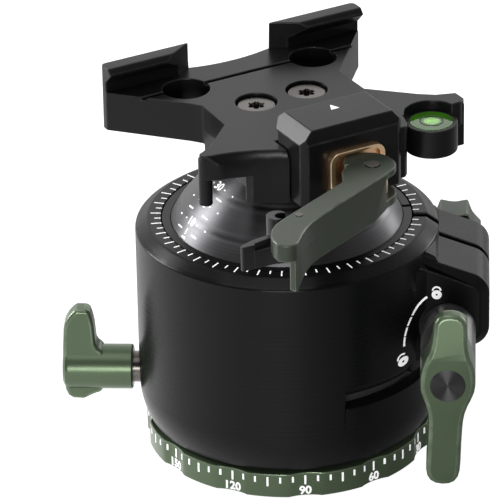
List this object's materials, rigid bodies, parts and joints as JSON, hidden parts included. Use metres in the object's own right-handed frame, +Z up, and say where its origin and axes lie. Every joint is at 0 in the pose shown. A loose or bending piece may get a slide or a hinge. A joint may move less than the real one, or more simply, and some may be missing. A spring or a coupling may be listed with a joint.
{
  "type": "ball head",
  "caption": "Ball head with a panning base, a clamping ear with lock lever, and a lever-release dovetail clamp with a safety latch and bubble level.",
  "frame": {"origin": "centre of the mouth of the tripod socket, in the plane of the underside", "axes": "+Z up along the panning axis, X along the dovetail, +Y from the movable jaw towards the fixed jaw"},
  "size_m": [0.0872, 0.0887, 0.0822],
  "materials": {
    "green_anodised": "satin anodised",
    "black_anodised": "satin anodised",
    "base_metal": "anodised",
    "ball_metal": "polished anodised",
    "neck_metal": "turned",
    "steel": "turned",
    "spring_steel": "drawn",
    "copper": "turned bronze",
    "brass": "turned",
    "black_trim": "black",
    "bearing_plastic": "moulded",
    "vial_green": "translucent",
    "vial_window": "clear"
  },
  "bodies": {
    "base": {"base_ring": "green_anodised", "base_plate": "base_metal", "socket_bush": "steel", "base_screws": "steel", "pan_drum": "base_metal", "thrust_washer": "bearing_plastic"},
    "housing": {"housing": "black_anodised", "bearing_ring": "base_metal", "collet_ring": "black_anodised", "seat_spring": "spring_steel", "lock_nut": "steel", "neck_washer": "bearing_plastic"},
    "lock_lever": {"lock_lever": "green_anodised", "lever_neck": "neck_metal", "lever_cap": "black_trim", "lock_bolt": "steel"},
    "drag_knob": {"drag_knob": "green_anodised", "drag_screw": "steel"},
    "pan_lock": {"pan_knob": "green_anodised", "pan_screw": "steel", "pan_pad": "brass"},
    "ball_seat": {"ball_seat": "bearing_plastic"},
    "clamp": {"ball": "ball_metal", "clamp_plate": "black_anodised", "plate_screws": "steel", "guide_pins": "steel", "pull_rod": "copper", "rod_nut": "steel", "level_vial": "vial_green", "level_window": "vial_window"},
    "jaw": {"movable_jaw": "black_anodised", "cam_frame": "copper", "jaw_spring": "spring_steel"},
    "cam_lever": {"cam_lever": "green_anodised", "cam_pin": "steel", "latch_pin": "steel"},
    "latch": {"safety_latch": "black_trim", "latch_spring": "spring_steel"}
  },
  "joints": [
    {"name": "pan_turn", "type": "hinge", "parent": "base", "child": "housing", "pos_m": [0, 0, 0.0062], "axis": [0, 0, 1], "continuous": true},
    {"name": "lock_turn", "type": "hinge", "parent": "housing", "child": "lock_lever", "pos_m": [0.02832, -0.0177, 0.032], "axis": [-0.5299, -0.848, 0], "range_deg": [0, 58]},
    {"name": "drag_turn", "type": "hinge", "parent": "housing", "child": "drag_knob", "pos_m": [0.02917, -0.01823, 0.0389], "axis": [0.5299, 0.848, 0], "range_deg": [-180, 180]},
    {"name": "pan_lock_turn", "type": "hinge", "parent": "housing", "child": "pan_lock", "pos_m": [-0.02769, 0.0173, 0.0143], "axis": [-0.848, 0.5299, 0], "range_deg": [0, 270]},
    {"name": "ball_spin", "type": "hinge", "parent": "housing", "child": "ball_seat", "pos_m": [0, 0, 0.0375], "axis": [0, 0, 1], "continuous": true},
    {"name": "ball_tilt", "type": "hinge", "parent": "ball_seat", "child": "clamp", "pos_m": [0, 0, 0.0375], "axis": [0, 1, 0], "range_deg": [-30, 30]},
    {"name": "jaw_slide", "type": "slide", "parent": "clamp", "child": "jaw", "axis": [0, 1, 0], "range_m": [-0.00143, 0.00045], "deforming": ["jaw_spring"]},
    {"name": "cam_swing", "type": "hinge", "parent": "clamp", "child": "cam_lever", "pos_m": [0, -0.0347, 0.072], "axis": [0, 0, 1], "range_deg": [-24, 76]},
    {"name": "latch_turn", "type": "hinge", "parent": "cam_lever", "child": "latch", "pos_m": [-0.02363, -0.04653, 0.07], "axis": [0, 0, 1], "range_deg": [0, 22], "stiffness_Nm_per_rad": 0.01}
  ],
  "couplings": [
    {"joint": "cam_swing", "follows": "jaw_slide", "rad_per_m": -925.93}
  ]
}
